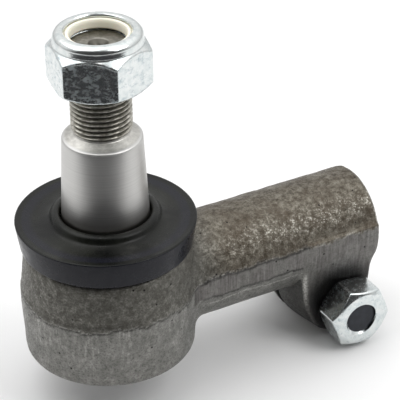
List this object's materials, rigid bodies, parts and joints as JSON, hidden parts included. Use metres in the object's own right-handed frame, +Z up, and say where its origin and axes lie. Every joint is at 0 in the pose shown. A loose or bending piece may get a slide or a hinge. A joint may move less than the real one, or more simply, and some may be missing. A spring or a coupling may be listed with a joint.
{
  "type": "tie rod end",
  "caption": "Steering ball joint: a tapered, threaded ball stud with lock nut and rubber seal in a forged housing, whose threaded shank is pinched on to the tie rod by a clamp bolt.",
  "frame": {"origin": "centre of the closing cover's outer face, on the stud axis", "axes": "+Z up along the ball stud towards its thread; +X along the shank, out of its open end; -Y towards the side of the clamp nut"},
  "size_m": [0.1157, 0.0544, 0.1209],
  "materials": {
    "forged_steel": "as forged, brown-grey, rough, with trim marks at the parting line",
    "ground_steel": "fine circumferential grinding on the taper",
    "zinc_steel": "bright zinc plate",
    "black_steel": "black oxide",
    "cover_steel": "pressed sheet, oiled",
    "spring_steel": "blued spring steel",
    "seal_rubber": "moulded, matt black",
    "seat_plastic": "moulded acetal",
    "insert_nylon": "ivory nylon"
  },
  "bodies": {
    "housing": {"forged_housing": "forged_steel", "upper_bearing_shell": "seat_plastic", "disc_spring": "spring_steel", "cover_o_ring": "seal_rubber", "closing_cover": "cover_steel", "snap_ring": "spring_steel", "clamp_bolt": "black_steel", "clamp_nut": "zinc_steel"},
    "swivel_seat": {"lower_bearing_shell": "seat_plastic", "dust_seal": "seal_rubber"},
    "seal_lip": {"seal_lip_ring": "spring_steel"},
    "stud": {"ball_stud": "ground_steel", "lock_nut": "zinc_steel", "nylon_insert": "insert_nylon"}
  },
  "joints": [
    {"name": "tilt_direction", "type": "hinge", "parent": "housing", "child": "swivel_seat", "pos_m": [0, 0, 0.023], "axis": [0, 0, 1], "continuous": true},
    {"name": "stud_tilt", "type": "hinge", "parent": "swivel_seat", "child": "seal_lip", "pos_m": [0, 0, 0.023], "axis": [0, 1, 0], "range_deg": [-15, 15], "deforming": ["dust_seal"]},
    {"name": "stud_turn", "type": "hinge", "parent": "seal_lip", "child": "stud", "pos_m": [0, 0, 0.023], "axis": [0, 0, 1], "continuous": true}
  ]
}
